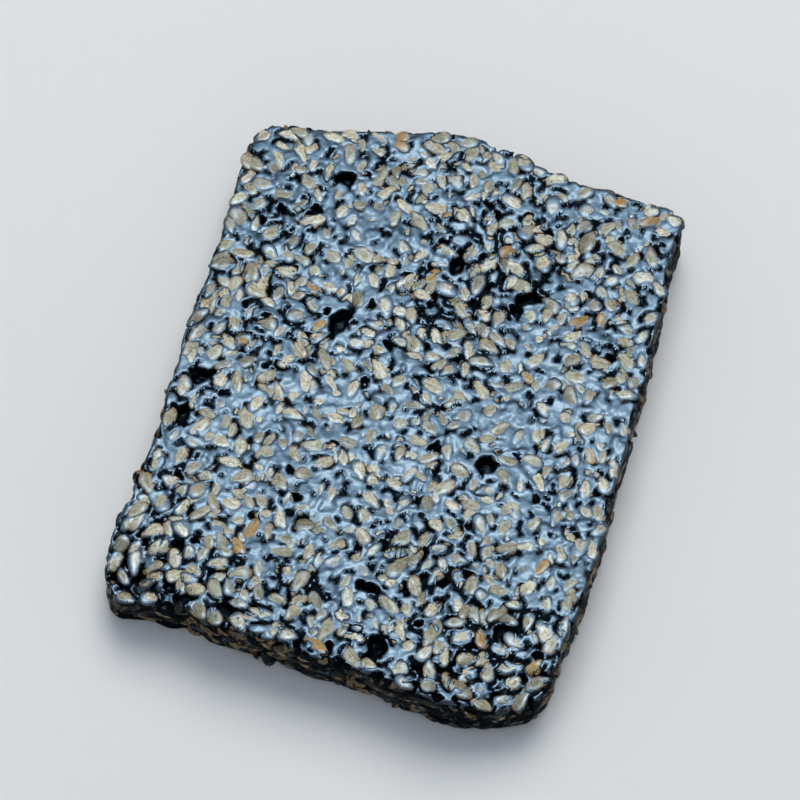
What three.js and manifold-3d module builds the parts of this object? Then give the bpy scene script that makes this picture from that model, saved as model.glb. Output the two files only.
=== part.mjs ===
// Black sesame cake: one hand-cut slab of set black syrup, packed with hulled sesame seeds.
// Millimetres, +Z up. The origin lies on the flat underside, at the middle of the slab.
// The cake is one solid: the slab, its largest pits cut in, and the largest seeds fused on.
import * as THREE from "three";
import { mergeVertices } from "three/addons/utils/BufferGeometryUtils.js";
import Module from "manifold-3d";

// Driving dimensions of the slab.
const WIDTH = 57; // along X
const LENGTH = 72; // along Y
const THICKNESS = 8.5; // underside to the general level of the top
const EDGE_ROLL = 0.9; // how far the top bends down to its edge
const ROLL_INWARD = 1.3; // how far in that bend starts, as a share of the roll
const ROLL_MIDDLE = { inward: 0.35, down: 0.3 }; // a point half way round it, as shares of the roll
const FOOT_ROLL = 0.5; // how far the wall draws in at the underside
const WALL_RIPPLE = 0.35; // how far the cut walls wander in and out
const TOP_RIPPLE = 0.28; // how far the rolled top rises and falls

// Waves of the cut walls: share of the ripple, number round the rim, and start in radians.
const WALL_WAVES = [
  { share: 0.5, number: 9, start: 0 },
  { share: 0.3, number: 23, start: 1 },
  { share: 0.2, number: 41, start: 2 },
];

// Waves of the top: a broad one along both axes and a short one across them, with their lengths per radian.
const BROAD_WAVE = { share: 0.6, across: 6.1, along: 7.3, start: 0.7 };
const SHORT_WAVE = { share: 0.4, oblique: 3.7 };

// The rim's corners as shares of the half width and half length, anticlockwise from above.
// Round is how far from the corner its curve starts, so two neighbours' rounds fit between them.
const RIM_CORNERS = [
  { across: 0.947, along: 0.906, round: 2.5 }, // back right corner
  { across: 0.49, along: 0.91, round: 6.5 }, // shallow dip of the back edge
  { across: 0.05, along: 1.0, round: 6 }, // blunt bend of the back edge
  { across: -0.944, along: 0.833, round: 3 }, // back left corner
  { across: -0.955, along: -0.52, round: 5 }, // waist of the left edge
  { across: -1.0, along: -0.76, round: 3.5 }, // flare above the worn corner
  { across: -0.94, along: -0.95, round: 3.3 }, // worn front left corner
  { across: -0.72, along: -0.915, round: 3 }, // shallow notch of the front edge
  { across: 0.61, along: -1.0, round: 5.2 }, // blunt end of the front edge
  { across: 0.935, along: -0.92, round: 4.3 }, // front right corner
  { across: 1.0, along: -0.3, round: 16 }, // bulge of the right edge
];

// Places where the top slumps, as shares of the half width and half length.
const SLUMPS = [
  { across: -0.97, along: -0.9, reach: 6.5, depth: 2.4 }, // worn front left corner
  { across: 0.82, along: -0.97, reach: 5, depth: 1.7 }, // front right corner
  { across: -0.95, along: 0.85, reach: 6, depth: 0.7 }, // back left corner
  { across: 0.3, along: 0.48, reach: 7, depth: 0.45 }, // shallow dent with gaps between its seeds
];

// The largest open pits of the top. Turn is the long axis's angle from X, in degrees.
const PITS = [
  { across: -0.337, along: 0.206, length: 4.2, width: 2.5, turn: 75 },
  { across: -0.495, along: 0.72, length: 2.6, width: 2.1, turn: 10 },
  { across: 0.074, along: 0.515, length: 3.0, width: 1.9, turn: 80 },
  { across: 0.44, along: -0.16, length: 2.2, width: 2.0, turn: 30 },
  { across: 0.21, along: -0.865, length: 3.2, width: 2.5, turn: -15 },
  { across: -0.872, along: -0.262, length: 3.4, width: 2.0, turn: -10 },
  { across: 0.11, along: -0.678, length: 2.3, width: 1.3, turn: 0 },
  { across: 0.41, along: 0.46, length: 3.2, width: 1.6, turn: 20 },
  { across: -0.84, along: -0.11, length: 2.6, width: 1.9, turn: 40 },
];
const PIT_DEPTH = 1.9;

// A sesame seed lies flat: long, narrow and thin, blunt at one end and pointed at the other.
const SEED_LENGTH = 3.3;
const SEED_WIDTH = 1.95;
const SEED_THICKNESS = 1.0;
const SEED_OUTLINE = [
  { along: -0.5, out: 0 }, // blunt end
  { along: -0.3, out: 0.42 },
  { along: 0.16, out: 0.4 },
  { along: 0.5, out: 0 }, // point
]; // shares of the length and of the width
const TOP_SEEDS = 200;
const WALL_SEEDS = 52;
const LARGEST_SEED = 1.14; // share of the named size, for the first seed
const SMALLEST_SEED = 0.94; // and for the last one
const SEED_TILT = 0.2; // most lean out of the surface, in radians
const SEED_SINK = 0.12; // depth of a seed's middle below the face it lies in
const RIM_MARGIN = 0.945; // seeds of the top stay inside this share of the rim
const WALL_SEED_FOOT = 1.6; // lowest middle of a wall seed
const WALL_SEED_TOP = 2.2; // least depth of a wall seed's middle below the top
const SHARP_BEND = 0.3; // wall seeds keep off corners that bend more than this, in radians
const TRIES = 14; // candidates for each seed, of which the loneliest is kept
const TOP_DRAWS = 11; // first number of the draws for the top's seeds
const WALL_DRAWS = 60001; // first number of the draws for the walls' seeds

// Fineness of the faceted solid.
const RIM_STEPS = 96;
const SEED_SIDES = 5;
const SEED_FULLNESS = 1.15; // how much wider the few sides are, so that a seed keeps its bulk
const PIT_SIDES = 8;
const PIT_BANDS = 4;
const TOP_RINGS = [
  { share: 0.78, apart: 6 },
  { share: 0.4, apart: 12 },
]; // shares of the rim, and how many of its steps apart their corners are
const SNAP = 1e-3; // corners closer than this are one corner

const halfWidth = WIDTH / 2;
const halfLength = LENGTH / 2;
const wasm = await Module();
wasm.setup();

// A number from 0 to 1 that is always the same for the same n.
// A seed's number plus a fraction tells apart the things that are drawn for it.
function draw(n) {
  const wave = Math.sin(n * 12.9898) * 43758.5453;
  return wave - Math.floor(wave);
}

function placed({ across, along }) {
  return new THREE.Vector2(across * halfWidth, along * halfLength);
}

// The rim seen from above: straight cuts between corners that are rounded off.
function rimPath() {
  const path = new THREE.Path();
  const corners = RIM_CORNERS.map(placed);
  corners.forEach((corner, i) => {
    const before = corners.at(i - 1);
    const after = corners[(i + 1) % corners.length];
    const round = RIM_CORNERS[i].round;
    const enter = corner.clone().add(before.clone().sub(corner).setLength(round));
    const leave = corner.clone().add(after.clone().sub(corner).setLength(round));
    if (i === 0) path.moveTo(enter.x, enter.y);
    else path.lineTo(enter.x, enter.y);
    path.quadraticCurveTo(corner.x, corner.y, leave.x, leave.y);
  });
  path.closePath();
  return path;
}

// The cut walls wander: turn runs once round the rim, from 0 to 1.
function wallRipple(turn) {
  const angle = turn * 2 * Math.PI;
  const waves = WALL_WAVES.map(({ share, number, start }) => share * Math.sin(number * angle + start));
  return WALL_RIPPLE * waves.reduce((sum, wave) => sum + wave);
}

const rim = rimPath()
  .getSpacedPoints(RIM_STEPS)
  .slice(0, RIM_STEPS)
  .map((p, i) => p.clone().setLength(p.length() + wallRipple(i / RIM_STEPS)));

// A point's share of the way from the middle to the rim, which is 1 on the rim itself.
function rimShare(x, y) {
  for (let i = 0; i < RIM_STEPS; i++) {
    const a = rim[i];
    const b = rim[(i + 1) % RIM_STEPS];
    const area = a.x * b.y - a.y * b.x;
    const towardsA = (x * b.y - y * b.x) / area;
    const towardsB = (a.x * y - a.y * x) / area;
    if (towardsA >= 0 && towardsB >= 0) return towardsA + towardsB;
  }
  return 0;
}

// Height of the top away from its rolled edge: a gentle ripple, less the slumps.
function topLevel(x, y) {
  const { share, across, along, start } = BROAD_WAVE;
  const broad = share * Math.sin(x / across + start) * Math.cos(y / along);
  const short = SHORT_WAVE.share * Math.sin((x + y) / SHORT_WAVE.oblique);
  let z = THICKNESS + TOP_RIPPLE * (broad + short);
  for (const slump of SLUMPS) {
    const far = placed(slump).distanceTo(new THREE.Vector2(x, y)) / slump.reach;
    z -= slump.depth * Math.exp(-far * far);
  }
  return z;
}

const everyStep = (apart) => Array.from({ length: RIM_STEPS / apart }, (_, i) => i * apart);

// The rim's step nearest to each named corner. Only these carry the flat underside.
const cornerSteps = RIM_CORNERS.map((corner) => {
  const gaps = rim.map((point) => point.distanceTo(placed(corner)));
  return gaps.indexOf(Math.min(...gaps));
});

// The slab's rings from the underside, up the wall and over to the middle of the top.
// Share is of the rim, rise of the top's level there, and steps are the rim's steps that have a corner.
const RINGS = [
  { share: 1 - FOOT_ROLL / halfWidth, rise: 0, steps: cornerSteps },
  { share: 1, rise: FOOT_ROLL / THICKNESS, steps: everyStep(1) },
  { share: 1, rise: 1 - EDGE_ROLL / THICKNESS, steps: everyStep(1) },
  {
    share: 1 - (ROLL_MIDDLE.inward * EDGE_ROLL) / halfWidth,
    rise: 1 - (ROLL_MIDDLE.down * EDGE_ROLL) / THICKNESS,
    steps: everyStep(1),
  },
  { share: 1 - (ROLL_INWARD * EDGE_ROLL) / halfWidth, rise: 1, steps: everyStep(2) },
  ...TOP_RINGS.map(({ share, apart }) => ({ share, rise: 1, steps: everyStep(apart) })),
];

// Triangles between two rings of corners, made by walking round both at once.
function bandFaces(lower, upper) {
  const stepAt = (ring, n) => ring[n % ring.length].step + RIM_STEPS * Math.floor(n / ring.length);
  const pointAt = (ring, n) => ring[n % ring.length].point;
  const faces = [];
  let i = 0;
  let j = 0;
  while (i < lower.length || j < upper.length) {
    const above = i === lower.length || (j < upper.length && stepAt(upper, j + 1) < stepAt(lower, i + 1));
    const next = above ? pointAt(upper, j + 1) : pointAt(lower, i + 1);
    faces.push([pointAt(lower, i), next, pointAt(upper, j)]);
    if (above) j += 1;
    else i += 1;
  }
  return faces;
}

// The slab as a closed skin: bands between the rings, and fans over the underside and the top's middle.
function slabGeometry() {
  const points = [];
  const add = (x, y, z) => points.push(new THREE.Vector3(x, y, z)) - 1;
  const rings = RINGS.map(({ share, rise, steps }) =>
    steps.map((step) => {
      const { x, y } = rim[step].clone().multiplyScalar(share);
      return { step, point: add(x, y, rise * topLevel(x, y)) };
    }),
  );
  const foot = add(0, 0, 0);
  const crown = add(0, 0, topLevel(0, 0));
  const fan = (ring, middle) => ring.map(({ point }, i) => [ring.at(i - 1).point, point, middle]);
  const underside = fan(rings[0], foot).map((face) => face.reverse());
  const walls = rings.slice(1).flatMap((upper, i) => bandFaces(rings[i], upper));
  const geometry = new THREE.BufferGeometry().setFromPoints(points);
  return geometry.setIndex([underside, walls, fan(rings.at(-1), crown)].flat(2));
}

// A closed geometry as a solid, turned right side out if its faces point inwards.
function solidOf(geometry) {
  const bare = new THREE.BufferGeometry();
  bare.setAttribute("position", geometry.attributes.position);
  bare.setIndex(geometry.index);
  const merged = mergeVertices(bare, SNAP);
  const corners = [];
  for (let i = 0; i < merged.index.count; i += 3) {
    const [a, b, c] = merged.index.array.slice(i, i + 3);
    if (a !== b && b !== c && c !== a) corners.push(a, b, c);
  }
  const build = (triangles) =>
    new wasm.Manifold(
      new wasm.Mesh({
        numProp: 3,
        vertProperties: new Float32Array(merged.attributes.position.array),
        triVerts: new Uint32Array(triangles),
      }),
    );
  const solid = build(corners);
  return solid.volume() > 0 ? solid : build(corners.reverse());
}

// A sesame seed along X: its outline swings from the blunt end to the point, and it is pressed thin.
function seedGeometry() {
  const outline = SEED_OUTLINE.map(({ along, out }) => new THREE.Vector2(out, along));
  const geometry = new THREE.LatheGeometry(outline, SEED_SIDES);
  geometry.rotateZ(-Math.PI / 2);
  geometry.scale(SEED_LENGTH, SEED_WIDTH * SEED_FULLNESS, SEED_THICKNESS * SEED_FULLNESS);
  return geometry;
}

// Size of seed i of count, as a share of the named size: the largest come first.
function seedSize(i, count) {
  return LARGEST_SEED + (SMALLEST_SEED - LARGEST_SEED) * (i / count);
}

function inPit(x, y) {
  return PITS.some((pit) => {
    const away = new THREE.Vector2(x, y).sub(placed(pit));
    away.rotateAround(new THREE.Vector2(), THREE.MathUtils.degToRad(-pit.turn));
    const seedReach = SEED_WIDTH / 2;
    return Math.hypot(away.x / (pit.length / 2 + seedReach), away.y / (pit.width / 2 + seedReach)) < 1;
  });
}

// Spreads count places evenly: of a few candidates for each, the one furthest from the rest is kept.
function spread(count, firstDraw, candidate, gap) {
  const places = [];
  for (let i = 0; i < count; i++) {
    let best = null;
    let bestGap = -1;
    for (let k = 0; k < TRIES; k++) {
      const n = firstDraw + 2 * (i * TRIES + k);
      const place = candidate(draw(n), draw(n + 1));
      if (!place) continue;
      const nearest = Math.min(LENGTH, ...places.map((other) => gap(place, other)));
      if (nearest > bestGap) {
        best = place;
        bestGap = nearest;
      }
    }
    if (best) places.push(best);
  }
  return places;
}

// Where the seeds of the top lie, each with its turn and lean.
function topSeedPoses() {
  const candidate = (u, v) => {
    const x = (2 * u - 1) * halfWidth;
    const y = (2 * v - 1) * halfLength;
    return rimShare(x, y) < RIM_MARGIN && !inPit(x, y) ? { x, y } : null;
  };
  const gap = (a, b) => Math.hypot(a.x - b.x, a.y - b.y);
  return spread(TOP_SEEDS, TOP_DRAWS, candidate, gap).map(({ x, y }, i) => {
    const lean = (n) => (2 * draw(n) - 1) * SEED_TILT;
    const turn = new THREE.Euler(lean(i + 0.1), lean(i + 0.2), draw(i + 0.3) * 2 * Math.PI, "ZYX");
    const size = seedSize(i, TOP_SEEDS);
    return new THREE.Matrix4().compose(
      new THREE.Vector3(x, y, topLevel(x, y) - SEED_SINK),
      new THREE.Quaternion().setFromEuler(turn),
      new THREE.Vector3(size, size, size),
    );
  });
}

// The place on the rim at turn, from 0 to 1 once round, with the way the rim runs there and its bend.
function rimAt(turn) {
  const step = Math.floor(turn * RIM_STEPS);
  const corner = (n) => rim.at((step + n) % RIM_STEPS);
  const at = corner(0).clone().lerp(corner(1), turn * RIM_STEPS - step);
  const along = corner(1).clone().sub(corner(0)).normalize();
  const before = corner(0).clone().sub(corner(-1)).normalize();
  const after = corner(2).clone().sub(corner(1)).normalize();
  return { at, along, bend: Math.acos(Math.min(1, before.dot(after))) };
}

// Where the seeds of the cut walls lie: flat against the wall, pointing any way, clear of sharp corners.
function wallSeedPoses() {
  const candidate = (u, v) => {
    const { at, bend } = rimAt(u);
    const highest = topLevel(at.x, at.y) - WALL_SEED_TOP;
    return bend < SHARP_BEND ? { turn: u, z: WALL_SEED_FOOT + v * (highest - WALL_SEED_FOOT) } : null;
  };
  const perimeter = 2 * (WIDTH + LENGTH);
  const gap = (a, b) => {
    const apart = Math.abs(a.turn - b.turn);
    return Math.hypot(Math.min(apart, 1 - apart) * perimeter, a.z - b.z);
  };
  return spread(WALL_SEEDS, WALL_DRAWS, candidate, gap).map(({ turn, z }, i) => {
    const { at, along } = rimAt(turn);
    const run = new THREE.Vector3(along.x, along.y, 0);
    const out = new THREE.Vector3(along.y, -along.x, 0);
    const spin = new THREE.Matrix4().makeRotationZ(draw(i + 0.4) * 2 * Math.PI);
    const size = seedSize(i, WALL_SEEDS);
    return new THREE.Matrix4()
      .makeBasis(run, new THREE.Vector3(0, 0, 1), out)
      .multiply(spin)
      .scale(new THREE.Vector3(size, size, size))
      .setPosition(at.x - SEED_SINK * out.x, at.y - SEED_SINK * out.y, z);
  });
}

// Each pit is a lens-shaped hollow sunk into the top.
function pitSolids() {
  return PITS.map((pit) => {
    const { x, y } = placed(pit);
    const geometry = new THREE.SphereGeometry(1, PIT_SIDES, PIT_BANDS);
    geometry.rotateX(Math.PI / 2);
    geometry.scale(pit.length / 2, pit.width / 2, PIT_DEPTH);
    geometry.rotateZ(THREE.MathUtils.degToRad(pit.turn));
    geometry.translate(x, y, topLevel(x, y));
    return solidOf(geometry);
  });
}

function geometryOf(solid) {
  const { vertProperties, triVerts } = solid.getMesh();
  const geometry = new THREE.BufferGeometry();
  geometry.setAttribute("position", new THREE.BufferAttribute(vertProperties, 3));
  return geometry.setIndex(new THREE.BufferAttribute(triVerts, 1));
}

// The largest body of a solid, without the loose scraps and sealed hollows that joining leaves.
function mainBody(solid) {
  return solid.decompose().reduce((a, b) => (b.volume() > a.volume() ? b : a));
}

// The whole cake: the slab with its pits cut in and its seeds fused on.
function cakeGeometry() {
  const seed = seedGeometry();
  const poses = [...topSeedPoses(), ...wallSeedPoses()];
  const seeds = poses.map((pose) => solidOf(seed.clone().applyMatrix4(pose)));
  const pitted = pitSolids().reduce((slab, pit) => slab.subtract(pit), solidOf(slabGeometry()));
  const fused = wasm.Manifold.union([pitted, ...seeds]);
  const snapped = solidOf(geometryOf(fused));
  const geometry = geometryOf(mainBody(snapped));
  geometry.computeVertexNormals();
  return geometry;
}

const syrup = new THREE.MeshStandardMaterial({ color: 0x14161a, roughness: 0.25, metalness: 0 });

const body = new THREE.Mesh(cakeGeometry(), syrup);
body.name = "sesame_cake";

const cake = new THREE.Group();
cake.add(body);

export default cake;
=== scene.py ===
import math
from dataclasses import dataclass
from typing import NamedTuple

import bpy
import numpy as np
from mathutils import Matrix, Vector, noise


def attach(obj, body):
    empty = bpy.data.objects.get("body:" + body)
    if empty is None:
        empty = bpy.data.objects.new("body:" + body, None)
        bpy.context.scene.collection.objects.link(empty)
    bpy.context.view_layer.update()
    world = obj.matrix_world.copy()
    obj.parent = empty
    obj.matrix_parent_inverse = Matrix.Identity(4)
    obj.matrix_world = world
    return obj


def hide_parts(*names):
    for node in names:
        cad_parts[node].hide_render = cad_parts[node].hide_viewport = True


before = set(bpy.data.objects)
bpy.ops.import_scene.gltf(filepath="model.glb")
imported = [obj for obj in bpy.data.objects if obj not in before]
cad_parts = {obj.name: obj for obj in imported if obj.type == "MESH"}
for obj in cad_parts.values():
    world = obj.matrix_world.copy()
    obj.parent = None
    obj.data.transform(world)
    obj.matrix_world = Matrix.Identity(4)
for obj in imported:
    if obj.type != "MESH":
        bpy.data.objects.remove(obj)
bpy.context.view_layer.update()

# Shapes are worked out in millimetres, as the solid's are, and become metres in the meshes.
MM = 0.001


class Corner(NamedTuple):
    """A corner of the rim. Its place, as all places on the top, is in shares of the half sizes."""

    across: float
    along: float
    rounding: float  # how far from the corner its curve starts


class Slump(NamedTuple):
    """A place where the top sags."""

    across: float
    along: float
    reach: float
    depth: float


class Pit(NamedTuple):
    """An open pit of the top."""

    across: float
    along: float
    length: float
    width: float
    turn: float  # of its length from X, in degrees


class Bumps(NamedTuple):
    """Smooth unevenness. Its layer makes it unlike other bumps of the same length."""

    height: float
    length: float  # from one bump to the next
    layer: float


class Web(NamedTuple):
    """Strands of syrup with gaps between them."""

    cell: float  # from one gap to the next
    thin: float  # from the middle of a strand to where it starts to fall
    thick: float  # and to the bottom of the gap beside it


# The slab, as in the solid.
WIDTH = 57
LENGTH = 72
THICKNESS = 8.5
HALF = np.array([WIDTH, LENGTH]) / 2
WALL_RIPPLE = 0.35
WALL_WAVES = [(0.5, 9, 0), (0.3, 23, 1), (0.2, 41, 2)]  # share of the ripple, number round the rim, start
TOP_RIPPLE = 0.28
BROAD_WAVE, BROAD_ACROSS, BROAD_ALONG, BROAD_START = 0.6, 6.1, 7.3, 0.7
SHORT_WAVE, SHORT_LENGTH = 0.4, 3.7

# Corners of the rim, anticlockwise.
RIM_CORNERS = [
    Corner(0.947, 0.906, 2.5),  # back right corner
    Corner(0.49, 0.91, 6.5),  # shallow dip of the back edge
    Corner(0.05, 1.0, 6),  # blunt bend of the back edge
    Corner(-0.944, 0.833, 3),  # back left corner
    Corner(-0.955, -0.52, 5),  # waist of the left edge
    Corner(-1.0, -0.76, 3.5),  # flare above the worn corner
    Corner(-0.94, -0.95, 3.3),  # worn front left corner
    Corner(-0.72, -0.915, 3),  # shallow notch of the front edge
    Corner(0.61, -1.0, 5.2),  # blunt end of the front edge
    Corner(0.935, -0.92, 4.3),  # front right corner
    Corner(1.0, -0.3, 16),  # bulge of the right edge
]
BACK_RIGHT, BACK_LEFT, FRONT_LEFT, FRONT_RIGHT = 0, 3, 6, 9
RIM_STEPS = 96  # of the solid's rim
RIM_SAMPLES = 1600  # of the rim that distances are measured from
PIECE_PARTS = 200  # in which the length of a corner's curve or a cut is measured
SHORT_TURN = 0.001  # over which the way that the rim runs is measured

WORN_CORNER = Slump(-0.97, -0.9, 6.5, 2.4)
WORN_REACH = 1.5  # how far the wear reaches, as a share of the slump's reach
SLUMPS = [
    WORN_CORNER,
    Slump(0.82, -0.97, 5, 1.7),  # front right corner
    Slump(-0.95, 0.85, 6, 0.7),  # back left corner
    Slump(0.3, 0.48, 7, 0.45),  # shallow dent with gaps between its seeds
]

# The largest pits.
PITS = [
    Pit(-0.337, 0.206, 4.2, 2.5, 75),
    Pit(-0.495, 0.72, 2.6, 2.1, 10),
    Pit(0.074, 0.515, 3.0, 1.9, 80),
    Pit(0.44, -0.16, 2.2, 2.0, 30),
    Pit(0.21, -0.865, 3.2, 2.5, -15),
    Pit(-0.872, -0.262, 3.4, 2.0, -10),
    Pit(0.11, -0.678, 2.3, 1.3, 0),
    Pit(0.41, 0.46, 3.2, 1.6, 20),
    Pit(-0.84, -0.11, 2.6, 1.9, 40),
]
PIT_DEPTH = 1.9
PIT_FLOOR, PIT_RIM = 0.5, 1.05  # shares of a pit's reach where its floor ends and where its rim is
PIT_BUMPS = [Bumps(0.6, 1.5, 14.1), Bumps(0.4, 0.7, 15.7)]  # of its reach

# Seeds. The first ones of the top and walls are spread by the rule for those fused to the solid.
SEED = np.array([3.3, 1.95, 0.86])  # length, width and thickness
FUSED_TOP, FUSED_WALL = 200, 52
EDGE_SEEDS, TOP_FILLERS = 86, 620
WALL_SEEDS, UNDER_SEEDS = 480, 240
TRIES = 14  # candidates for each seed, of which the loneliest is kept
TOP_DRAWS, WALL_DRAWS, UNDER_DRAWS = 11, 60001, 120001  # first numbers of the draws for their places
COVERED_SHARE = 0.2  # of the seeds between the fused ones, those that the syrup covers
GOLDEN_SHARE = 0.035

# Sizes of seeds, as shares of the size above.
LARGEST_SEED, SMALLEST_SEED = 1.14, 0.94  # first and last of the fused ones
SMALLEST_FILLER = 0.74  # last of the others on the same face
SMALLEST_UNDER, LARGEST_UNDER = 0.85, 1.1
SIZE_JITTER = 0.12

# Where the seeds lie.
FUSED_MARGIN, FILLER_MARGIN, UNDER_MARGIN = 0.945, 0.955, 0.93  # inside these shares of the rim
NEAREST_EDGE, FURTHEST_EDGE = 0.7, 1.6  # from the rim to the middles of the seeds along it
EDGE_JITTER = 0.7  # of their places along the rim, as a share of the space for each
WALL_SEED_FOOT, WALL_SEED_TOP = 1.6, 2.2  # from the underside and from the top to fused seeds' middles
WALL_FILLER_FOOT, WALL_FILLER_TOP = 1.0, 1.2  # and to the others'
SHARP_BEND = 0.3  # the walls' fused seeds keep off sharper corners, in radians
SHALLOWEST_SINK, DEEPEST_SINK = 0.2, 0.6  # of the walls' seeds
LOWEST_SEED, HIGHEST_SEED = -0.05, 0.11  # how far the top's seeds stand above the syrup's general level
LOOSE_RISE = 0.03  # how much further where the syrup is loose
TUCK, DEEPEST_TUCK = 0.14, 0.11  # how much lower a seed lies for its overlap with others
UNDER_LIFT = 0.8  # the most that the underside's seeds are lifted, as a share of the syrup's lift

# How the seeds lie, in radians.
SEED_TILT, STRONG_TILT = 0.07, 0.2
WORN_TILT = 1.6  # how much more they tilt at the worn corner
EDGE_SWING = 0.7  # from the way the rim runs
EDGE_ON_TILT = 1.3  # of the walls' seeds

# How the seeds' slopes and overlaps are worked out.
SLOPE_STEP = 0.4
NEIGHBOURHOOD = 4.5  # seeds further apart than this hardly overlap
TURNS_TRIED = 10
SPINE_POINTS = 5

# Fineness of the syrup's mesh: cells across and along the top, rings down the wall.
CELLS_ACROSS, CELLS_ALONG, WALL_RINGS = 240, 304, 16
EVENING_ROUNDS = 120
UNDERSIDE_RINGS = (1.0, 0.97)  # shares of the foot

# Noise is turned by this, so that none of it lines up with the axes.
OBLIQUE = np.array(Matrix.Rotation(1.1, 3, Vector((0.36, 0.48, 0.8))))

# The syrup's edge, walls and underside.
EDGE_ROLL = 0.5
ROLL_BUMPS = [Bumps(0.35, 7.0, 3.1), Bumps(0.3, 2.6, 4.7)]  # of the roll
ROLL_ZONE = 0.85  # share of the rim outside which the top may roll down
EDGE_BITE, BITE_FROM, BITE_TO = 0.7, -0.1, 0.6  # depth, and between which bumps it sets in
BITES, SMALL_BITES = Bumps(1.0, 2.1, 41.0), Bumps(0.4, 0.9, 42.0)
WALL_LUMPS = [Bumps(0.36, 2.6, 21.0), Bumps(0.22, 1.2, 22.0)]
WALL_LEAN = Bumps(0.4, 12.0, 23.0)
WALL_SETTLES, LUMPS_SETTLE = 0.2, 0.1  # share of the wall down which it reaches the rim and its full lumps
FOOT_ROLL = 0.5
UNDERSIDE = 0.15  # how far the syrup is lifted by the seeds under it

# The film of syrup over the top.
FILM_BUMPS = [Bumps(0.10, 4.5, 1.3), Bumps(0.12, 1.2, 2.9), Bumps(0.02, 0.8, 3.7)]
WORN_BUMPS, WORN_SINK = Bumps(0.5, 2.2, 5.3), 0.25
SEED_REACH = 1.2  # how far from its outline a seed shapes the film
LEAST_REACH = 1e-6  # keeps a seed's very middle from a division by zero
LUMP = 0.16  # the film's rise over a covered seed
BARE = 0.05  # how far under a bare seed's face the film ends
BARE_DIP, BARE_FROM, BARE_TO = 0.08, 0.15, 0.45  # how it dips there, from inside the seed's outline
CLIMB_FROM, CLIMB_TO = 0.25, -0.5  # where it starts and stops to climb, from a seed's outline

# Cracks beside the seeds. They open where their bumps are higher than a level that looseness lowers.
CRACK_DEPTH, CRACK_WIDTH, CRACK_PLACE = 0.5, 0.14, 0.06  # the place is measured from a seed's outline
CRACK_BUMPS = Bumps(1.0, 1.1, 7.3)
CRACK_LEVEL, CRACK_LOOSER, CRACK_FADE = 0.08, 0.5, 0.3

# Gaps between the strands: a fine web everywhere, and a wide one at the front.
FINE_WEB, WIDE_WEB = Web(1.2, 0.11, 0.34), Web(2.1, 0.2, 0.45)
WEB_BENDS = [Bumps(0.3, 1.2, 31.0), Bumps(0.3, 1.2, 32.0)]  # across and along
WEB_LAYER = 0.4
CELL_WEIGHTS, CELL_DIGITS = (3.1, 7.3, 1.7), 3  # of a cell's coordinates, for a number of its own
FEWEST_GAPS, MORE_GAPS, WIDE_GAPS = 0.02, 0.34, 0.42  # shares of the cells: all over, and with looseness
GAP_FADE = 0.08  # share of the cells whose gaps are only partly open
GAP_DEPTH, GAP_LIP, WIDE_LIP = 1.3, 0.10, 1.8  # the last is the wide strands' share of the lip
# The finish of hollows is dull: painted shade in cracks, gaps and pits.
HOLLOW_DEPTH = 0.17  # deeper faces have the finish of hollows

# How loose the syrup is between the seeds.
LOOSE_ALL, LOOSE_IN_SPOT, LOOSE_WORN, LOOSE_FRONT = 0.25, 0.6, 0.5, 0.5
LOOSE_PATCHES = Bumps(0.6, 13.0, 6.1)
LOOSE_SPOT, LOOSE_REACH = np.array([0.12, 0.49]) * HALF, 10  # round the dent
FRONT_FROM, FRONT_TO = 0.35, 1.0  # shares of the half length

# Floor and light, in metres. Turns are measured from the viewpoint's azimuth.
FLOOR_REACH = 3.0
KEY_TURN, KEY_ELEVATION, KEY_DISTANCE, KEY_SIZE = 170, 55, 1.4, 0.9
KEY_STRENGTH, KEY_COLOUR = 4.6, (1.0, 0.97, 0.92)
SURROUND, SURROUND_STRENGTH = (0.95, 0.97, 1.0), 0.3
GLOW_TURN, GLOW_ELEVATION, GLOW_STRENGTH = 190, 86, 23.2
GLOW = [  # by the cosine of the angle from its middle
    (0.45, (0.020, 0.036, 0.054)),
    (0.78, (0.082, 0.142, 0.212)),
    (0.90, (0.168, 0.28, 0.40)),
    (0.96, (0.235, 0.375, 0.52)),
    (0.993, (0.57, 0.78, 0.95)),
]

# The photograph's viewpoint, seen from the middle of the cake, and a lens that fills the frame with it.
VIEW_AZIMUTH, VIEW_ELEVATION, VIEW_ROLL = 15.3, 68.4, 0.5
VIEW_DISTANCE = 522
VIEW_MIDDLE = (0, 0, 7)
PHOTO_FIELD = 25.0
CLOSER = 2.4
SENSOR = 36.0
NEAREST_SEEN, FURTHEST_SEEN = 0.01, 20

# Draws, as in the solid.
DRAW_STEP, DRAW_SPREAD = 12.9898, 43758.5453


def draw(n):
    """Numbers from 0 to 1 that are always the same for the same n.

    A seed's number plus a fraction tells apart the things that are drawn for it.
    """
    wave = np.sin(np.asarray(n, dtype=float) * DRAW_STEP) * DRAW_SPREAD
    return wave - np.floor(wave)


def drawn(low, high, n):
    return low + (high - low) * draw(n)


def unit(vectors):
    return vectors / np.linalg.norm(vectors, axis=-1, keepdims=True)


def smooth(low, high, values):
    """Rises from 0 at low to 1 at high, with level ends."""
    t = np.clip((values - low) / (high - low), 0, 1)
    return t * t * (3 - 2 * t)


def hill(points, spot, reach):
    """1 at a spot, fading to 0 round it."""
    far = np.linalg.norm(points - spot, axis=1) / reach
    return np.exp(-(far**2))


def uneven(points, *kinds):
    """Sum of several kinds of bumps at the points."""
    total = 0
    for kind in kinds:
        spots = np.atleast_2d(points) / kind.length
        if spots.shape[1] == 2:
            spots = np.column_stack([spots, np.zeros(len(spots))])
        spots = (spots + (0, 0, kind.layer)) @ OBLIQUE
        total = total + kind.height * np.array([noise.noise(Vector(spot)) for spot in spots])
    return total


def placed(spots):
    """Points of the corners, slumps or pits."""
    return np.array([(spot.across, spot.along) for spot in spots]) * HALF


# The rim

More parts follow.
